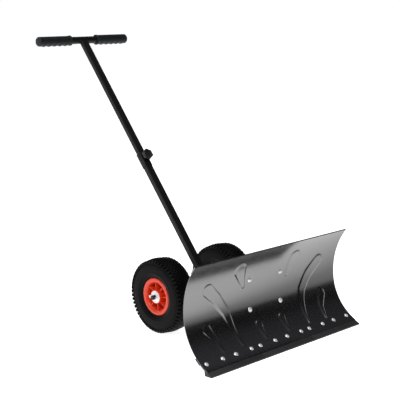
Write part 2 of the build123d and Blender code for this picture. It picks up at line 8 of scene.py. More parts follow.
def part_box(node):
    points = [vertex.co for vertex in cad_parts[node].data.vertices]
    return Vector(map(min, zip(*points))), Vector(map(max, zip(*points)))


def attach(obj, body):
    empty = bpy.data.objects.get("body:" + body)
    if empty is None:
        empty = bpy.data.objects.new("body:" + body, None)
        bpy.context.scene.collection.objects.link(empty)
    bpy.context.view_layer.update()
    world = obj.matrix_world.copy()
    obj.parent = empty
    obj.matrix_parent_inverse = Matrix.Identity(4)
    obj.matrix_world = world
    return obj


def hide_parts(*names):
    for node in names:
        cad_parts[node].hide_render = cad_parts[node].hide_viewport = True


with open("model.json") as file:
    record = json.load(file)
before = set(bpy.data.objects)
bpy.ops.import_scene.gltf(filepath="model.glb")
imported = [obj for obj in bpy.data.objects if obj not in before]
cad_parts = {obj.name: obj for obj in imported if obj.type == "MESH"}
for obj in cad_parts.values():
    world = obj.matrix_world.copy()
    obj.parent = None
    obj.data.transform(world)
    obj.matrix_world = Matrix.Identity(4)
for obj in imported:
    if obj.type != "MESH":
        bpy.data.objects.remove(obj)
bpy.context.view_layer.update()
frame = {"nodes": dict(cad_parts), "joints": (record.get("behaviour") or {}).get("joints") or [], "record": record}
nodes = frame["nodes"]
scene = bpy.context.scene
print("frame loaded:", len(nodes), "parts")


def boxCentre(node):
    low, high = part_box(node)
    return (Vector(low) + Vector(high)) / 2


# camera, floor and light
camera = {
    "azimuth": -43.507,  # degrees, 0 looks along +Y
    "elevation": 10.104,
    "roll": -1.477,
    "distance": 3.5259,
    "target": (0.0136, -0.1054, 0.4535),
    "lens": 89.12,  # mm on a 36 mm sensor
}


def makeCamera():
    data = bpy.data.cameras.new("camera")
    data.lens = camera["lens"]
    data.sensor_width = 36.0
    data.clip_end = 60.0
    body = bpy.data.objects.new("camera", data)
    turn = Matrix.Rotation(radians(camera["azimuth"]), 4, "Z")
    turn @= Matrix.Rotation(radians(90 - camera["elevation"]), 4, "X")
    turn @= Matrix.Rotation(radians(camera["roll"]), 4, "Z")
    back = turn @ Vector((0, 0, 1))
    body.matrix_world = Matrix.Translation(Vector(camera["target"]) + back * camera["distance"]) @ turn
    scene.collection.objects.link(body)
    scene.camera = body


def viewDirection():
    turn = radians(-camera["azimuth"])
    return (sin(turn), cos(turn), 0.0)


# sRGB hex to linear RGBA
def linear(hexColour):
    parts = [int(hexColour[k:k + 2], 16) / 255 for k in (1, 3, 5)]
    return tuple(c / 12.92 if c <= 0.04045 else ((c + 0.055) / 1.055) ** 2.4 for c in parts) + (1.0,)


# One node, with its settings and its inputs; an input that is a socket is linked
def addNode(tree, kind, settings=None, inputs=None):
    node = tree.nodes.new(kind)
    for name, value in (settings or {}).items():
        setattr(node, name, value)
    for name, value in (inputs or {}).items():
        if isinstance(value, bpy.types.NodeSocket):
            tree.links.new(value, node.inputs[name])
        else:
            node.inputs[name].default_value = value
    return node


def setShader(shader, values):
    for name, value in values.items():
        shader.inputs[name].default_value = value


studio = {
    "floorSize": 40.0,
    "floorColour": "#f2f2f2",
    "floorGlow": 0.92,  # a back-lit table: white from below, so shadows stay faint
    "litAlong": (0.575, -0.818, 0.0),  # level direction in front of the blade, to the camera's right
    "litUntil": (0.62, 1.25),  # metres that way where the table's light fades in reflections
    "floorDim": 0.03,  # its glow beyond, as reflections and bounced light see it
    "skyLow": "#ffffff",  # pale wall behind the shovel, up to a little above the horizon
    "skyDark": "#2b2b2d",  # dim room above it
    "skyHigh": "#626266",
    "wallTop": 0.15,  # sines of elevation where the pale wall ends and the ceiling starts
    "ceiling": 0.75,
    "roomLow": "#1f1f20",  # unlit room on the camera's side
    "roomHigh": "#6a6a6e",
    "roomRise": (0.30, 0.95),
    "skyGlow": 1.02,
    "sunPower": 0.9,
    "sunAngle": 50,  # degrees across, which keeps its shadows soft
    "lights": [
        # name, place, aimed at, size, watts
        ("key light", (-2.9, -1.6, 3.2), (0.0, 0.0, 0.5), (1.1, 1.1), 100.0),
        ("rim light", (-1.0, 3.4, 2.6), (0.0, 0.2, 0.5), (1.6, 1.0), 35.0),
    ],
}


def makeStudio():
    scene.view_settings.view_transform = "Standard"
    world = bpy.data.worlds.new("studio")
    scene.world = world
    world.use_nodes = True
    tree = world.node_tree
    tree.nodes.clear()
    place = addNode(tree, "ShaderNodeTexCoord")
    split = addNode(tree, "ShaderNodeSeparateXYZ", inputs={0: place.outputs["Generated"]})
    ramp = addNode(tree, "ShaderNodeValToRGB", inputs={0: split.outputs["Z"]})
    stops = ramp.color_ramp.elements
    stops[0].position = studio["wallTop"] * 0.8
    stops[0].color = linear(studio["skyLow"])
    stops[1].position = studio["wallTop"] * 1.25
    stops[1].color = linear(studio["skyDark"])
    stops.new(studio["ceiling"] * 0.75).color = linear(studio["skyDark"])
    stops.new(studio["ceiling"] * 1.15).color = linear(studio["skyHigh"])
    room = addNode(tree, "ShaderNodeValToRGB", inputs={0: split.outputs["Z"]})
    rise = room.color_ramp.elements
    for stop, key, at in zip(rise, ("roomLow", "roomHigh"), studio["roomRise"]):
        stop.position = at
        stop.color = linear(studio[key])
    away = viewDirection()
    ahead = addNode(
        tree, "ShaderNodeVectorMath", {"operation": "DOT_PRODUCT"}, {0: place.outputs["Generated"], 1: away}
    )
    behind = addNode(
        tree, "ShaderNodeMapRange",
        inputs={"Value": ahead.outputs["Value"], "From Min": 0.1, "From Max": 0.5},
    )
    # the wall is pale behind the shovel, and wherever the camera sees it
    ray = addNode(tree, "ShaderNodeLightPath")
    pale = addNode(
        tree, "ShaderNodeMath", {"operation": "MAXIMUM"},
        {0: behind.outputs[0], 1: ray.outputs["Is Camera Ray"]},
    )
    around = addNode(
        tree, "ShaderNodeMix", {"data_type": "RGBA"},
        {0: pale.outputs[0], 6: room.outputs[0], 7: ramp.outputs[0]},
    )
    glow = addNode(
        tree, "ShaderNodeBackground", inputs={"Color": around.outputs[2], "Strength": studio["skyGlow"]}
    )
    addNode(tree, "ShaderNodeOutputWorld", inputs={"Surface": glow.outputs[0]})

    half = studio["floorSize"] / 2
    mesh = bpy.data.meshes.new("floor")
    corners = [(-half, -half, 0), (half, -half, 0), (half, half, 0), (-half, half, 0)]
    mesh.from_pydata(corners, [], [(0, 1, 2, 3)])
    floor = bpy.data.objects.new("floor", mesh)
    scene.collection.objects.link(floor)
    paper = bpy.data.materials.new("back-lit white acrylic")
    paper.use_nodes = True
    tree = paper.node_tree
    shader = tree.nodes["Principled BSDF"]
    place = addNode(tree, "ShaderNodeTexCoord")
    ahead = addNode(
        tree, "ShaderNodeVectorMath", {"operation": "DOT_PRODUCT"},
        {0: place.outputs["Object"], 1: studio["litAlong"]},
    )
    start, end = studio["litUntil"]
    lit = addNode(
        tree, "ShaderNodeMapRange", {"interpolation_type": "SMOOTHSTEP"},
        {"Value": ahead.outputs["Value"], "From Min": start, "From Max": end,
         "To Min": studio["floorGlow"], "To Max": studio["floorDim"]},
    )
    # the camera sees an evenly lit table, reflections and bounced light one that fades
    ray = addNode(tree, "ShaderNodeLightPath")
    seen = addNode(
        tree, "ShaderNodeMix", {"data_type": "FLOAT"},
        {0: ray.outputs["Is Camera Ray"], 2: lit.outputs[0], 3: studio["floorGlow"]},
    )
    tree.links.new(seen.outputs[0], shader.inputs["Emission Strength"])
    setShader(shader, {
        "Base Color": linear(studio["floorColour"]), "Roughness": 0.9, "Emission Color": linear("#ffffff"),
    })
    floor.data.materials.append(paper)

    sun = bpy.data.lights.new("overhead light", "SUN")
    sun.energy = studio["sunPower"]
    sun.angle = radians(studio["sunAngle"])
    scene.collection.objects.link(bpy.data.objects.new("overhead light", sun))
    for name, place, aim, size, watts in studio["lights"]:
        data = bpy.data.lights.new(name, "AREA")
        data.shape = "RECTANGLE"
        data.size, data.size_y = size
        data.energy = watts
        lamp = bpy.data.objects.new(name, data)
        way = Vector(aim) - Vector(place)
        lamp.matrix_world = Matrix.Translation(place) @ way.to_track_quat("-Z", "Y").to_matrix().to_4x4()
        scene.collection.objects.link(lamp)


makeCamera()
makeStudio()
print("camera and studio made")


# materials
def startMaterial(name):
    material = bpy.data.materials.new(name)
    material.use_nodes = True
    tree = material.node_tree
    return material, tree, tree.nodes["Principled BSDF"]


# Powder-coated steel, semi-gloss: soft broad reflections with a faint orange peel, drawn coarser
# than the real one so that it shows
def bladeCoat():
    look = {"dark": "#0b0b0c", "light": "#111112", "peel": 0.0035, "cloud": 0.12, "rough": (0.17, 0.22)}
    material, tree, shader = startMaterial("powder-coated steel, semi-gloss")
    place = addNode(tree, "ShaderNodeTexCoord")
    cloud = addNode(
        tree, "ShaderNodeTexNoise",
        inputs={"Vector": place.outputs["Object"], "Scale": 1 / look["cloud"], "Detail": 4.0},
    )
    colour = addNode(
        tree, "ShaderNodeMix", {"data_type": "RGBA"},
        {0: cloud.outputs["Fac"], 6: linear(look["dark"]), 7: linear(look["light"])},
    )
    rough = addNode(
        tree, "ShaderNodeMapRange",
        inputs={"Value": cloud.outputs["Fac"], "To Min": look["rough"][0], "To Max": look["rough"][1]},
    )
    peel = addNode(
        tree, "ShaderNodeTexNoise",
        inputs={"Vector": place.outputs["Object"], "Scale": 1 / look["peel"], "Detail": 2.0},
    )
    bump = addNode(
        tree, "ShaderNodeBump",
        inputs={"Height": peel.outputs["Fac"], "Strength": 0.005, "Distance": 0.001},
    )
    tree.links.new(colour.outputs[2], shader.inputs["Base Color"])
    tree.links.new(rough.outputs[0], shader.inputs["Roughness"])
    tree.links.new(bump.outputs[0], shader.inputs["Normal"])
    # IOR well above a real powder coat's, set for reflections as bright as the real sheet's
    setShader(shader, {"IOR": 2.5, "Coat Weight": 0.25, "Coat Roughness": 0.18, "Coat IOR": 1.5})
    return material


# Powder-coated steel, satin: black paint that lights up along the corners
def tubeCoat():
    look = {"dark": "#0c0c0b", "light": "#141412", "grain": 0.0022, "cloud": 0.05}
    material, tree, shader = startMaterial("powder-coated steel, satin")
    place = addNode(tree, "ShaderNodeTexCoord")
    cloud = addNode(
        tree, "ShaderNodeTexNoise",
        inputs={"Vector": place.outputs["Object"], "Scale": 1 / look["cloud"], "Detail": 5.0},
    )
    colour = addNode(
        tree, "ShaderNodeMix", {"data_type": "RGBA"},
        {0: cloud.outputs["Fac"], 6: linear(look["dark"]), 7: linear(look["light"])},
    )
    grain = addNode(
        tree, "ShaderNodeTexNoise",
        inputs={"Vector": place.outputs["Object"], "Scale": 1 / look["grain"], "Detail": 3.0},
    )
    bump = addNode(
        tree, "ShaderNodeBump",
        inputs={"Height": grain.outputs["Fac"], "Strength": 0.06, "Distance": 0.001},
    )
    tree.links.new(colour.outputs[2], shader.inputs["Base Color"])
    tree.links.new(bump.outputs[0], shader.inputs["Normal"])
    setShader(shader, {"Roughness": 0.4, "IOR": 1.32})
    return material


# Tyre rubber: near black, matt, with dustier grey patches
def tyreRubber():
    look = {"dark": "#060606", "dust": "#0e0f10", "grain": 0.0016, "cloud": 0.03}
    material, tree, shader = startMaterial("tyre rubber")
    place = addNode(tree, "ShaderNodeTexCoord")
    cloud = addNode(
        tree, "ShaderNodeTexNoise",
        inputs={"Vector": place.outputs["Object"], "Scale": 1 / look["cloud"], "Detail": 6.0},
    )
    dust = addNode(
        tree, "ShaderNodeMapRange",
        inputs={"Value": cloud.outputs["Fac"], "From Min": 0.35, "From Max": 0.85, "To Max": 0.6},
    )
    colour = addNode(
        tree, "ShaderNodeMix", {"data_type": "RGBA"},
        {0: dust.outputs[0], 6: linear(look["dark"]), 7: linear(look["dust"])},
    )
    grain = addNode(
        tree, "ShaderNodeTexNoise",
        inputs={"Vector": place.outputs["Object"], "Scale": 1 / look["grain"], "Detail": 3.0},
    )
    bump = addNode(
        tree, "ShaderNodeBump",
        inputs={"Height": grain.outputs["Fac"], "Strength": 0.12, "Distance": 0.001},
    )
    tree.links.new(colour.outputs[2], shader.inputs["Base Color"])
    tree.links.new(bump.outputs[0], shader.inputs["Normal"])
    # IOR below real rubber's, set to keep the sidewalls dark under so much white light
    setShader(shader, {"Roughness": 0.5, "IOR": 1.16})
    return material


# Moulded plastic or soft PVC: an even colour with fine spark-eroded grain
def mouldedPlastic(name, look):
    material, tree, shader = startMaterial(name)
    place = addNode(tree, "ShaderNodeTexCoord")
    cloud = addNode(
        tree, "ShaderNodeTexNoise",
        inputs={"Vector": place.outputs["Object"], "Scale": 1 / look["cloud"], "Detail": 3.0},
    )
    colour = addNode(
        tree, "ShaderNodeMix", {"data_type": "RGBA"},
        {0: cloud.outputs["Fac"], 6: linear(look["dark"]), 7: linear(look["light"])},
    )
    rough = addNode(
        tree, "ShaderNodeMapRange",
        inputs={"Value": cloud.outputs["Fac"], "To Min": look["rough"][0], "To Max": look["rough"][1]},
    )
    grain = addNode(
        tree, "ShaderNodeTexNoise",
        inputs={"Vector": place.outputs["Object"], "Scale": 1 / look["grain"], "Detail": 2.0},
    )
    bump = addNode(
        tree, "ShaderNodeBump",
        inputs={"Height": grain.outputs["Fac"], "Strength": look["bump"], "Distance": 0.001},
    )
    tree.links.new(colour.outputs[2], shader.inputs["Base Color"])
    tree.links.new(rough.outputs[0], shader.inputs["Roughness"])
    tree.links.new(bump.outputs[0], shader.inputs["Normal"])
    setShader(shader, look.get("shader", {"IOR": 1.49}))
    return material


# Plated or ground steel: a bright metal whose cloudiness breaks up its mirror
def platedMetal(name, look):
    material, tree, shader = startMaterial(name)
    place = addNode(tree, "ShaderNodeTexCoord")
    cloud = addNode(
        tree, "ShaderNodeTexNoise",
        inputs={"Vector": place.outputs["Object"], "Scale": 1 / look["cloud"], "Detail": 4.0},
    )
    colour = addNode(
        tree, "ShaderNodeMix", {"data_type": "RGBA"},
        {0: cloud.outputs["Fac"], 6: linear(look["dark"]), 7: linear(look["light"])},
    )
    rough = addNode(
        tree, "ShaderNodeMapRange",
        inputs={"Value": cloud.outputs["Fac"], "To Min": look["rough"][0], "To Max": look["rough"][1]},
    )
    tree.links.new(colour.outputs[2], shader.inputs["Base Color"])
    tree.links.new(rough.outputs[0], shader.inputs["Roughness"])
    setShader(shader, {"Metallic": look["metallic"]})
    return material


finishes = {
    "blade_steel": bladeCoat(),
    "frame_paint": tubeCoat(),
    "tyre_rubber": tyreRubber(),
    # grey from use, hardly any shine
    "wear_strip": mouldedPlastic(
        "moulded wear rubber",
        {
            "dark": "#262626", "light": "#333334", "cloud": 0.04, "grain": 0.0012, "bump": 0.1,
            "rough": (0.5, 0.62), "shader": {"IOR": 1.35},
        },
    ),
    # strong even colour, a soft shine along the ribs and a little light let in at thin edges
    "rim_plastic": mouldedPlastic(
        "polypropylene, orange red",
        {
            "dark": "#c82a08", "light": "#d63812", "cloud": 0.05, "grain": 0.0012, "bump": 0.04,
            "rough": (0.3, 0.4),
            "shader": {"IOR": 1.49, "Subsurface Weight": 0.05, "Subsurface Scale": 0.002},
        },
    ),
    # black with a dull shine on the knobs' lobes
    "black_plastic": mouldedPlastic(
        "polypropylene, black",
        {
            "dark": "#101011", "light": "#181819", "cloud": 0.02, "grain": 0.0009, "bump": 0.08,
            "rough": (0.38, 0.5), "shader": {"IOR": 1.4},
        },
    ),
    # bluish black, soft and matt
    "grip_rubber": mouldedPlastic(
        "soft PVC grip",
        {
            "dark": "#111315", "light": "#191b1e", "cloud": 0.03, "grain": 0.001, "bump": 0.1,
            "rough": (0.45, 0.58), "shader": {"IOR": 1.36},
        },
    ),
    # bright and nearly white: clouded plating, part diffuse so that dark rooms don't blacken it
    "zinc_steel": platedMetal(
        "zinc-plated steel",
        {"dark": "#e2e3e4", "light": "#f6f6f7", "cloud": 0.006, "rough": (0.4, 0.5), "metallic": 0.6},
    ),
    # darker, with sharper reflections
    "bearing_steel": platedMetal(
        "ground bearing steel",
        {"dark": "#a9aaac", "light": "#c4c5c7", "cloud": 0.004, "rough": (0.15, 0.25), "metallic": 1.0},
    ),
}
slots = {entry["node"]: entry["material_slot"] for entry in frame["record"]["subparts"]}
for name, part in nodes.items():
    part.data.materials.clear()
    part.data.materials.append(finishes[slots[name]])
print("materials made:", len(finishes))


# making pieces
def meshObject(name, points, faces):
    mesh = bpy.data.meshes.new(name)
    mesh.from_pydata([tuple(p) for p in points], [], faces)
    made = bpy.data.objects.new(name, mesh)
    scene.collection.objects.link(made)
    return made


def faceOutwards(mesh):
    work = bmesh.new()
    work.from_mesh(mesh)
    bmesh.ops.recalc_face_normals(work, faces=work.faces)
    work.to_mesh(mesh)
    work.free()


# Gives a mesh its finish and its body, in the place of the CAD nodes it stands for
def finishPiece(piece, slot, body, replaced=(), sharp=38):
    faceOutwards(piece.data)
    piece.data.materials.clear()
    piece.data.materials.append(finishes[slot])
    for face in piece.data.polygons:
        face.use_smooth = True
        face.material_index = 0
    piece.data.set_sharp_from_angle(angle=radians(sharp))
    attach(piece, body)
    if replaced:
        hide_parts(*replaced)


# One plain mesh of several
def joinPieces(name, parts):
    bpy.ops.object.select_all(action="DESELECT")
    for part in parts:
        part.select_set(True)
    bpy.context.view_layer.objects.active = parts[0]
    bpy.ops.object.join()
    parts[0].name = name
    parts[0].data.name = name
    return parts[0]


# Turns what the modifiers make into the piece's own mesh and removes them
def plainMesh(piece):
    bpy.context.view_layer.update()
    graph = bpy.context.evaluated_depsgraph_get()
    made = bpy.data.meshes.new_from_object(piece.evaluated_get(graph))
    piece.modifiers.clear()
    piece.data = made


# Fills a Geometry Nodes modifier's inputs by their identifiers
def setInputs(modifier, values):
    for socket in modifier.node_group.interface.items_tree:
        if socket.in_out == "INPUT" and socket.name in values:
            modifier[socket.identifier] = values[socket.name]


# A polyline of (x, y, rounding) whose corners are rounded that far along their sides
def roundedLine(corners, steps=5, closed=False):
    line = []
    count = len(corners)
    for i, (x, y, cut) in enumerate(corners):
        if cut == 0 or (not closed and i in (0, count - 1)):
            line.append((x, y))
            continue
        here = Vector((x, y))
        before = Vector(corners[i - 1][:2])
        after = Vector(corners[(i + 1) % count][:2])
        start = here + (before - here).normalized() * cut
        end = here + (after - here).normalized() * cut
        for k in range(steps + 1):
            u = k / steps
            p = start * (1 - u) ** 2 + here * (2 * u * (1 - u)) + end * u ** 2
            line.append((p.x, p.y))
    return line


# A closed section of (radius, across) turned about a wheel's axis; across grows outwards
def lathe(name, profile, centre, side, segments):
    points = []
    for radius, across in profile:
        for k in range(segments):
            a = 2 * pi * k / segments
            points.append((centre.x + side * across, centre.y + radius * cos(a), centre.z + radius * sin(a)))
    faces = []
    for i in range(len(profile)):
        j = (i + 1) % len(profile)
        for k in range(segments):
            m = (k + 1) % segments
            faces.append((i * segments + k, j * segments + k, j * segments + m, i * segments + m))
    return meshObject(name, points, faces)


# A copy of a CAD node with its sharp edges broken, in the node's place
def softEdges(node, width):
    made = bpy.data.objects.new(node + "_soft", nodes[node].data.copy())
    scene.collection.objects.link(made)
    work = bmesh.new()
    work.from_mesh(made.data)
    bmesh.ops.remove_doubles(work, verts=work.verts, dist=0.00001)
    bmesh.ops.dissolve_limit(
        work, angle_limit=radians(0.5), verts=work.verts, edges=work.edges, delimit={"NORMAL"}
    )
    work.to_mesh(made.data)
    work.free()
    bevel = made.modifiers.new("broken edges", "BEVEL")
    bevel.width = width
    bevel.segments = 2
    bevel.limit_method = "ANGLE"
    bevel.angle_limit = radians(35)
    bevel.use_clamp_overlap = True
    bevel.harden_normals = False
    plainMesh(made)
    finishPiece(made, slots[node], bodyOf[node], [node])


# blade
blade = {
    "sheet": 0.0015,
    "footSlope": radians(26.1),
    "lowerArc": 0.190,
    "lowerRadius": 0.180,
    "upperArc": 0.186,
    "upperRadius": 0.244,
    "hemWidth": 0.030,
    "hem": 0.0025,
    "emboss": 0.0030,
    "flank": 0.0045,  # width of a rib's sloping side
    "grid": 0.0024,
    # each pressed rib: circles (x, distance up the blade, radius) along its middle, mirrored
    "ribs": [
        [(0.270, 0.263, 0.022), (0.225, 0.222, 0.019), (0.189, 0.173, 0.016), (0.180, 0.143, 0.013),
         (0.173, 0.104, 0.008), (0.165, 0.048, 0.003)],
        [(0.134, 0.306, 0.024), (0.106, 0.243, 0.007)],
        [(0.285, 0.137, 0.017), (0.263, 0.096, 0.010), (0.254, 0.046, 0.003)],
        [(0.057, 0.100, 0.014), (0.057, 0.046, 0.003)],
    ],
}


# (y, z, slope) of the front face at a distance s up the curve from its foot
def bladeSurface(s, footY, footZ):
    a = blade["footSlope"] + min(max(s, 0), blade["lowerArc"]) / blade["lowerRadius"]
    y = footY + blade["lowerRadius"] * (sin(a) - sin(blade["footSlope"]))
    z = footZ + blade["lowerRadius"] * (cos(blade["footSlope"]) - cos(a))
    extra = max(s - blade["lowerArc"], 0)
    b = a + extra / blade["upperRadius"]
    y += blade["upperRadius"] * (sin(b) - sin(a))
    z += blade["upperRadius"] * (cos(a) - cos(b))
    return y, z, b


# How far the pressed ribs stand out at a place on the blade
def ribHeight(x, s):
    x = abs(x)
    nearest = 1.0
    for line in blade["ribs"]:
        for (xa, sa, ra), (xb, sb, rb) in zip(line, line[1:]):
            dx, ds = xb - xa, sb - sa
            t = ((x - xa) * dx + (s - sa) * ds) / (dx * dx + ds * ds)
            t = min(max(t, 0.0), 1.0)
            nearest = min(nearest, hypot(x - xa - t * dx, s - sa - t * ds) - ra - t * (rb - ra))
    t = min(max(0.5 - nearest / blade["flank"], 0.0), 1.0)
    return blade["emboss"] * t * t * (3 - 2 * t)


def makeBlade():
    low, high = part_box("blade_sheet")
    width = high.x - low.x
    arc = blade["lowerArc"] + blade["upperArc"]
    columns = round(width / blade["grid"])
    rows = round(arc / blade["grid"])
    footZ = low.z + blade["sheet"] * cos(blade["footSlope"])
    places = [bladeSurface(arc * j / rows, low.y, footZ) for j in range(rows + 1)]
    front, back = [], []
    for i in range(columns + 1):
        x = low.x + width * i / columns
        for j, (y, z, a) in enumerate(places):
            s = arc * j / rows
            rib = ribHeight(x, s)
            behind = blade["sheet"] - rib
            if s > arc - blade["hemWidth"]:
                behind = blade["sheet"] + blade["hem"]
            front.append((x, y - rib * sin(a), z + rib * cos(a)))
            back.append((x, y + behind * sin(a), z - behind * cos(a)))
    count = len(front)
    step = rows + 1
    faces = []
    for i in range(columns):
        for j in range(rows):
            a, b = i * step + j, (i + 1) * step + j
            faces.append((a, b, b + 1, a + 1))
            faces.append((count + a, count + a + 1, count + b + 1, count + b))
        bottom, top = i * step, i * step + rows
        faces.append((bottom, count + bottom, count + bottom + step, bottom + step))
        faces.append((top, top + step, count + top + step, count + top))
    for j in range(rows):
        left, right = j, columns * step + j
        faces.append((left, left + 1, count + left + 1, count + left))
        faces.append((right, count + right, count + right + 1, right + 1))
    finishPiece(meshObject("bladeSheet", front + back, faces), "blade_steel", "blade", ["blade_sheet"])


makeBlade()
print("blade made")


# wheels
tyre = {
    "treadDepth": 0.0034,
    "crownRadius": 0.083,  # rounding of the tread across the tyre
    "blocksRound": 54,
    "rows": 9,
    "rowPitch": 0.0076,
    "groove": 0.0011,
    "barHeight": 0.0032,
    "barAt": (0.0092, 0.0360),  # bars on the shoulder: depth below the tread and place across
    "barLean": radians(48),
    "barHalf": (0.0052, 0.0062),  # across and along the tyre
    "treadHalf": 0.0330,
    "bead": 0.0684,  # radius where the sidewall leaves the rim
    "segments": 162,
}
rim = {
    "ribs": 8,
    "firstRib": 5.0,  # degrees
    "ribThickness": 0.0028,
    "ribDepth": 0.0295,
    "hub": 0.0250,
    "dish": 0.0480,
    "lip": 0.0673,
    "half": 0.0350,
    "segments": 128,
}


# Copies of a shape in rows round a wheel, each facing out along the crown's normal
def ringTree():
    tree = bpy.data.node_groups.new("copies round a wheel", "GeometryNodeTree")
    face = tree.interface
    face.new_socket("Geometry", in_out="OUTPUT", socket_type="NodeSocketGeometry")
    for name, kind in (
        ("Shape", "Object"), ("Round", "Int"), ("Rows", "Int"), ("Row Pitch", "Float"),
        ("First Turn", "Float"), ("Crown Radius", "Float"), ("Seat Radius", "Float"),
        ("Centre", "Vector"), ("Finish", "Material"),
    ):
        face.new_socket(name, in_out="INPUT", socket_type="NodeSocket" + kind)
    given = addNode(tree, "NodeGroupInput").outputs

    def maths(operation, *values):
        return addNode(tree, "ShaderNodeMath", {"operation": operation}, dict(enumerate(values))).outputs[0]

    def combine(*values):
        return addNode(tree, "ShaderNodeCombineXYZ", inputs=dict(enumerate(values))).outputs[0]

    count = maths("MULTIPLY", given["Round"], given["Rows"])
    spots = addNode(tree, "GeometryNodeMeshLine", inputs={"Count": count})
    index = addNode(tree, "GeometryNodeInputIndex").outputs[0]
    row = maths("FLOOR", maths("DIVIDE", index, given["Round"]))
    column = maths("MODULO", index, given["Round"])
    stagger = maths("MULTIPLY_ADD", maths("MODULO", row, 2.0), 0.5, column)
    turn = maths("ADD", maths("DIVIDE", stagger, given["Round"]), given["First Turn"])
    angle = maths("MULTIPLY", turn, 2 * pi)
    fromMiddle = maths("SUBTRACT", row, maths("MULTIPLY", maths("SUBTRACT", given["Rows"], 1.0), 0.5))
    lean = maths("DIVIDE", maths("MULTIPLY", fromMiddle, given["Row Pitch"]), given["Crown Radius"])
    leanCos = maths("COSINE", lean)
    turnCos = maths("COSINE", angle)
    turnSin = maths("SINE", angle)
    upright = maths("MULTIPLY", leanCos, turnSin)
    normal = combine(maths("SINE", lean), maths("MULTIPLY", leanCos, turnCos), upright)
    along = combine(0.0, maths("MULTIPLY", turnSin, -1.0), turnCos)
    core = maths("SUBTRACT", given["Seat Radius"], given["Crown Radius"])

    def vectors(operation, inputs):
        return addNode(tree, "ShaderNodeVectorMath", {"operation": operation}, inputs).outputs[0]

    coreSpot = vectors("SCALE", {0: combine(0.0, turnCos, turnSin), "Scale": core})
    crownSpot = vectors("SCALE", {0: normal, "Scale": given["Crown Radius"]})
    offset = vectors("ADD", {0: coreSpot, 1: crownSpot})
    spot = vectors("ADD", {0: offset, 1: given["Centre"]})
    placed = addNode(
        tree, "GeometryNodeSetPosition", inputs={"Geometry": spots.outputs[0], "Position": spot}
    )
    facing = addNode(
        tree, "FunctionNodeAxesToRotation", {"primary_axis": "Z", "secondary_axis": "X"},
        {"Primary Axis": normal, "Secondary Axis": along},
    )
    shape = addNode(tree, "GeometryNodeObjectInfo", inputs={"Object": given["Shape"]})
    copies = addNode(
        tree, "GeometryNodeInstanceOnPoints",
        inputs={
            "Points": placed.outputs[0], "Instance": shape.outputs["Geometry"], "Rotation": facing.outputs[0],
        },
    )
    real = addNode(tree, "GeometryNodeRealizeInstances", inputs={0: copies.outputs[0]})
    painted = addNode(
        tree, "GeometryNodeSetMaterial", inputs={"Geometry": real.outputs[0], "Material": given["Finish"]}
    )
    addNode(tree, "NodeGroupOutput", inputs={0: painted.outputs[0]})
    return tree


# Plain mesh of a shape's copies round a wheel
def ringOf(shape, tree, centre, finish, count, seat, crown=1.0, rows=1, pitch=0.0, first=0.0):
    holder = bpy.data.objects.new("copies", bpy.data.meshes.new("copies"))
    scene.collection.objects.link(holder)
    modifier = holder.modifiers.new("copies", "NODES")
    modifier.node_group = tree
    setInputs(modifier, {
        "Shape": shape, "Round": count, "Rows": rows, "Row Pitch": pitch, "First Turn": first,
        "Crown Radius": crown, "Seat Radius": seat, "Centre": tuple(centre), "Finish": finishes[finish],
    })
    plainMesh(holder)
    return holder


# A small raised block: an outline, drawn in at its top; it starts below the surface
def blockShape(name, outline, height, taper):
    foot = -0.004
    levels = ((foot, 1.0), (height * 0.72, 1.0 - (1.0 - taper) * 0.3), (height, taper))
    points = [(x * size, y * size, z) for z, size in levels for x, y in outline]
    n = len(outline)
    faces = [tuple(range(n - 1, -1, -1)), tuple(range(2 * n, 3 * n))]
    for level in (0, n):
        for k in range(n):
            m = (k + 1) % n
            faces.append((level + k, level + m, level + n + m, level + n + k))
    return meshObject(name, points, faces)


# A tread block: a diamond that leaves a groove to its staggered neighbours
def diamondShape():
    wheelLow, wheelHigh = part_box("tyre_left")
    along = pi * (wheelHigh.z - wheelLow.z) / tyre["blocksRound"] / 2
    across = tyre["rowPitch"]
    shrink = 1 - tyre["groove"] / hypot(along, across) * (along / across + across / along) / 2
    a, b = along * shrink, across * shrink
    cut = 0.14
    outline = []
    for x, y, nx, ny in ((a, 0, 0, b), (0, b, -a, 0), (-a, 0, 0, -b), (0, -b, a, 0)):
        outline.append((x + (nx - x) * cut, y + (ny - y) * cut))
        outline.append((nx + (x - nx) * cut, ny + (y - ny) * cut))
    return blockShape("diamond", outline, tyre["treadDepth"], 0.88)


# Section of the carcass, (radius, across): beads, ringed sidewalls and round crown
def tyreProfile(radius, width):
    crown = radius - tyre["treadDepth"]
    half = width / 2
    side = [
        (0.0560, 0.0284, 0), (0.0672, 0.0286, 0.0006), (tyre["bead"], 0.0340, 0.0020),
        (0.0720, 0.0366, 0.0020),
        (0.0800, half - 0.0016, 0.0030), (0.0858, half - 0.0004, 0.0006), (0.0864, half + 0.0004, 0.0003),
        (0.0880, half + 0.0004, 0.0003), (0.0886, half - 0.0002, 0.0006), (radius - 0.0330, half, 0.0040),
        (radius - 0.0250, half - 0.0008, 0.0030), (radius - 0.0226, half - 0.0014, 0.0005),
        (radius - 0.0220, half - 0.0008, 0.0003), (radius - 0.0202, half - 0.0012, 0.0003),
        (radius - 0.0196, half - 0.0022, 0.0005), (radius - 0.0140, half - 0.0036, 0.0020),
        (radius - 0.0112, 0.0352, 0.0015),
    ]
    line = roundedLine(side + [(radius - 0.0108, 0.0340, 0)], 3)
    steps = 12
    for k in range(steps + 1):
        across = tyre["treadHalf"] * (1 - k / steps)
        bend = across / tyre["crownRadius"]
        line.append((crown - tyre["crownRadius"] * (1 - cos(bend)), tyre["crownRadius"] * sin(bend)))
    return line + [(r, -across) for r, across in reversed(line[:-1])]


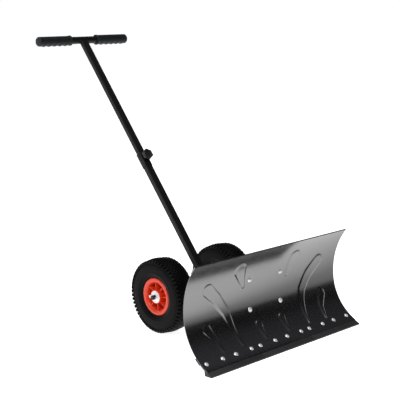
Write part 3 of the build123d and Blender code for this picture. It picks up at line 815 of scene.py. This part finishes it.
def makeTyre(name, side, tree, diamond, bar):
    node = "tyre_" + name
    low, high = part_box(node)
    centre = boxCentre(node)
    radius = (high.z - low.z) / 2
    carcass = lathe("carcass", tyreProfile(radius, high.x - low.x), centre, side, tyre["segments"])
    crown = radius - tyre["treadDepth"]
    blocks = ringOf(
        diamond, tree, centre, "tyre_rubber", tyre["blocksRound"], crown, tyre["crownRadius"],
        tyre["rows"], tyre["rowPitch"],
    )
    lean = tyre["barLean"]
    barCrown = tyre["barAt"][1] / sin(lean)
    barSeat = radius - tyre["barAt"][0] + barCrown * (1 - cos(lean))
    pair = 2 * lean * barCrown
    bars = ringOf(bar, tree, centre, "tyre_rubber", tyre["blocksRound"], barSeat, barCrown, 2, pair)
    piece = joinPieces("tyre_" + name + "_tread", [carcass, blocks, bars])
    finishPiece(piece, "tyre_rubber", "wheel_" + name, [node], 30)


# Section of the rim without its ribs: hub, web, dish, rounded lips and the tyre's seat
def rimProfile():
    half, lip, dish, hub = rim["half"], rim["lip"], rim["dish"], rim["hub"]
    side = [
        (0.0175, half, 0.0004), (hub, half, 0.0014), (hub + 0.0006, 0.0030, 0.0025),
        (dish - 0.0016, 0.0030, 0.0025), (dish, 0.0270, 0.0060), (dish + 0.0050, 0.0338, 0.0030),
        (0.0600, half + 0.0008, 0.0050), (lip - 0.0012, half - 0.0006, 0.0026), (lip, half - 0.0046, 0.0012),
        (lip - 0.0005, half - 0.0060, 0.0005), (0.0556, half - 0.0061, 0.0008), (0.0550, 0.0150, 0),
    ]
    line = roundedLine([(0.0175, 0.0, 0)] + side, 6)[1:]
    return line + [(r, -across) for r, across in reversed(line)]


def makeRim(name, side, tree):
    node = "rim_" + name
    centre = boxCentre(node)
    body = lathe("rimBody", rimProfile(), centre, side, rim["segments"])
    half = rim["ribThickness"] / 2
    deep = rim["ribDepth"]
    reach = (rim["dish"] - rim["hub"]) / 2 + 0.0012
    rib = roundBox("rib", (half, deep, reach), 0.0009)
    first = rim["firstRib"] / 360
    if side < 0:
        first = 0.5 - first
    ribs = ringOf(rib, tree, centre, "rim_plastic", rim["ribs"], (rim["dish"] + rim["hub"]) / 2, first=first)
    bpy.data.objects.remove(rib)
    finishPiece(joinPieces("rim_" + name + "_moulding", [body, ribs]), "rim_plastic", "wheel_" + name, [node])


# A box about the origin with rounded edges
def roundBox(name, half, edge):
    mesh = bpy.data.meshes.new(name)
    work = bmesh.new()
    bmesh.ops.create_cube(work, size=2.0)
    bmesh.ops.scale(work, vec=half, verts=work.verts)
    bmesh.ops.bevel(work, geom=work.edges, offset=edge, segments=2, profile=0.5, affect="EDGES")
    work.to_mesh(mesh)
    work.free()
    made = bpy.data.objects.new(name, mesh)
    scene.collection.objects.link(made)
    return made


# Pressed bearing cups: a skirt in the hub and a stepped disc over its face
def makeCups(name, side):
    node = "bearing_cups_" + name
    centre = boxCentre(node)
    face = rim["half"]
    section = [
        (0.0148, face - 0.0108, 0.0003), (0.0148, face + 0.0001, 0.0008), (0.0107, face + 0.0001, 0.0003),
        (0.0107, face + 0.0014, 0.0005), (0.0150, face + 0.0014, 0.0010), (0.0160, face + 0.0006, 0.0008),
        (0.0172, face + 0.0006, 0.0006), (0.0182, face + 0.0014, 0.0010), (0.0205, face + 0.0014, 0.0010),
        (0.0215, face + 0.0008, 0.0005), (0.0215, face + 0.0001, 0.0002), (0.0174, face + 0.0001, 0.0004),
        (0.0174, face - 0.0108, 0.0003),
    ]
    loop = roundedLine(section, 4, closed=True)
    outer = lathe("cup", loop, centre, side, 96)
    inner = lathe("cup", loop, centre, -side, 96)
    finishPiece(joinPieces(node + "_pressed", [outer, inner]), "zinc_steel", "wheel_" + name, [node], 25)


def makeWheels():
    tree = ringTree()
    diamond = diamondShape()
    a, b = tyre["barHalf"]
    bar = blockShape(
        "bar", [(a, -b), (a, b), (-a, b), (-a, -b)],
        tyre["barHeight"], 0.84,
    )
    for name, side in (("left", -1), ("right", 1)):
        makeTyre(name, side, tree, diamond, bar)
        makeRim(name, side, tree)
        makeCups(name, side)
    for shape in (diamond, bar):
        bpy.data.objects.remove(shape)


makeWheels()
print("wheels made")


# grips
grip = {
    "radius": 0.0183,
    "collar": 0.0199,
    "collarLength": 0.0070,
    "bore": 0.0141,
    "fingers": 5,
    "firstFinger": 0.0265,  # from the inner end
    "pitch": 0.0250,
    "rise": 0.0022,  # how far the finger ridges stand out below
    "seam": 0.0260,  # from the outer end
    "end": 0.0080,  # rounding of the outer end
    "wall": 0.0140,  # thickness of the outer end
    "fingerHalf": 0.0085,
    "ribPitch": 0.0042,
    "steps": 150,
    "segments": 72,
}


# Radius of a grip at a distance u from its inner end; angle 0 is straight up
def gripRadius(u, length, angle):
    collar = grip["collarLength"]
    if u < collar:
        edge = min(u, collar - u) / 0.0016
        base = grip["collar"] - 0.0012 * (1 - min(edge, 1.0)) ** 2
    else:
        fade = min((u - collar) / 0.0030, 1.0)
        base = grip["radius"] + 0.0012 * (1 - fade) ** 2
    end = grip["end"]
    left = length - u
    if left < end:
        base = grip["radius"] - end + (end * end - (end - left) ** 2) ** 0.5
    below = max(-cos(angle), 0.0) ** 1.4
    for k in range(grip["fingers"]):
        away = abs(u - grip["firstFinger"] - grip["pitch"] * k) / grip["fingerHalf"]
        if away < 1:
            base += grip["rise"] * below * (0.5 + 0.5 * cos(pi * away))
    groove = abs(left - grip["seam"]) / 0.0012
    if groove < 1:
        base -= 0.0005 * (1 - groove * groove)
    ridge = abs(sin(angle))
    if collar + 0.004 < u < length - grip["seam"] - 0.004:
        # shallow ribs along both sides, between the fingers and the thumb
        base += 0.00035 * ridge ** 4 * (0.5 + 0.5 * cos(2 * pi * u / grip["ribPitch"]))
    return base


def makeGrip(name, side):
    node = "grip_" + name
    low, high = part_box(node)
    centre = boxCentre("crossbar")
    length = high.x - low.x
    inner = low.x if side > 0 else high.x
    segments = grip["segments"]
    points, faces = [], []

    def addRing(u, radiusAt):
        for k in range(segments):
            a = 2 * pi * k / segments
            r = radiusAt(a)
            points.append((inner + side * u, centre.y + r * sin(a), centre.z + r * cos(a)))

    steps = grip["steps"]
    depth = length - grip["wall"]
    addRing(depth, lambda a: grip["bore"])
    addRing(0.0, lambda a: grip["bore"])
    for k in range(steps):
        u = length * k / steps
        addRing(u, lambda a: gripRadius(u, length, a))
    for k in range(8):
        u = length - 0.0012 * (1 - k / 8) ** 2
        addRing(u, lambda a: gripRadius(u, length, a))
    rings = steps + 10
    for i in range(rings - 1):
        for k in range(segments):
            m = (k + 1) % segments
            faces.append((i * segments + k, (i + 1) * segments + k, (i + 1) * segments + m, i * segments + m))
    faces.append(tuple(range(segments)))
    last = (rings - 1) * segments
    faces.append(tuple(range(last, last + segments)))
    finishPiece(meshObject(node + "_moulded", points, faces), "grip_rubber", "handle", [node])


for name, side in (("left", -1), ("right", 1)):
    makeGrip(name, side)
print("grips made")


# knobs
knob = {
    "lobes": 6,
    "outer": 0.0210,
    "valley": 0.0182,
    "stem": 0.0095,
    "stemHeight": 0.0060,
    "height": 0.0200,
    "round": 0.0032,
    "bore": 0.0041,
    "segments": 120,
}


# A six-lobed knob with rounded edges and a shallow dish in its top
def makeKnob(name, axis):
    node = name + "_head"
    axis = Vector(axis).normalized()
    tilt = axis.to_track_quat("Z", "X").to_matrix()
    onAxis = boxCentre(name + "_stud")
    lowest = min(v.co.dot(axis) for v in nodes[node].data.vertices)
    seat = onAxis + axis * (lowest - onAxis.dot(axis))
    rings = []
    stem, base = knob["stem"], knob["stemHeight"]
    top = knob["height"]
    bore = knob["bore"]
    for r, z in ((bore, 0.012), (bore, 0.0), (stem - 0.0006, 0.0), (stem, 0.0006), (stem, base)):
        rings.append((lambda a, r=r: r, z))
    edge = knob["round"]

    def lobed(shrink):
        wave = (knob["outer"] - knob["valley"]) / 2
        middle = (knob["outer"] + knob["valley"]) / 2
        return lambda a: middle + wave * cos(knob["lobes"] * a) - shrink

    for k in range(5):
        t = k / 4 * pi / 2
        rings.append((lobed(0.0015 * (1 - sin(t))), base + 0.0015 * (1 - cos(t))))
    for k in range(8):
        t = k / 7 * pi / 2
        rings.append((lobed(edge * (1 - cos(t))), top - edge + edge * sin(t)))
    for shrink, drop in ((0.0050, 0.0), (0.0062, 0.0006), (0.0075, 0.0014), (0.0120, 0.0018)):
        rings.append((lobed(shrink), top - drop))
    segments = knob["segments"]
    points, faces = [], []
    for radiusAt, z in rings:
        for k in range(segments):
            a = 2 * pi * k / segments
            points.append(seat + tilt @ Vector((radiusAt(a) * cos(a), radiusAt(a) * sin(a), z)))
    for i in range(len(rings) - 1):
        for k in range(segments):
            m = (k + 1) % segments
            faces.append((i * segments + k, (i + 1) * segments + k, (i + 1) * segments + m, i * segments + m))
    faces.append(tuple(range(segments)))
    last = (len(rings) - 1) * segments
    faces.append(tuple(range(last, last + segments)))
    finishPiece(meshObject(node + "_moulded", points, faces), "black_plastic", name, [node])


joints = {joint["name"]: joint for joint in frame["joints"]}
for name in ("clamp_knob", "lock_knob"):
    makeKnob(name, joints[name + "_turn"]["axis"])
print("knobs made")


# softened steel and plastic parts
bodyOf = {node: body for body, group in frame["record"]["behaviour"]["bodies"].items() for node in group}
edges = {
    "wear_strip_left": 0.0006, "wear_strip_middle": 0.0006, "wear_strip_right": 0.0006,
    "fork_plate_upper": 0.0007, "fork_plate_lower": 0.0007, "fork_web_left": 0.0005, "fork_web_right": 0.0005,
    "bracket_strap_left": 0.0005, "bracket_strap_right": 0.0005,
    "axle_gusset_left": 0.0006, "axle_gusset_right": 0.0006,
    "foot_gusset_left": 0.0005, "foot_gusset_right": 0.0005,
    "axle_washers": 0.0004, "lock_washer": 0.0003, "pivot_washers": 0.0004,
    "strip_nuts": 0.0004, "bracket_nuts": 0.0005, "pivot_nut": 0.0007, "collar_nut": 0.0006,
    "pivot_bolt": 0.0005, "collar": 0.0004, "axle_tube": 0.0004, "beam_cap": 0.0006,
}
for node, width in edges.items():
    softEdges(node, width)
print("softened:", len(edges))
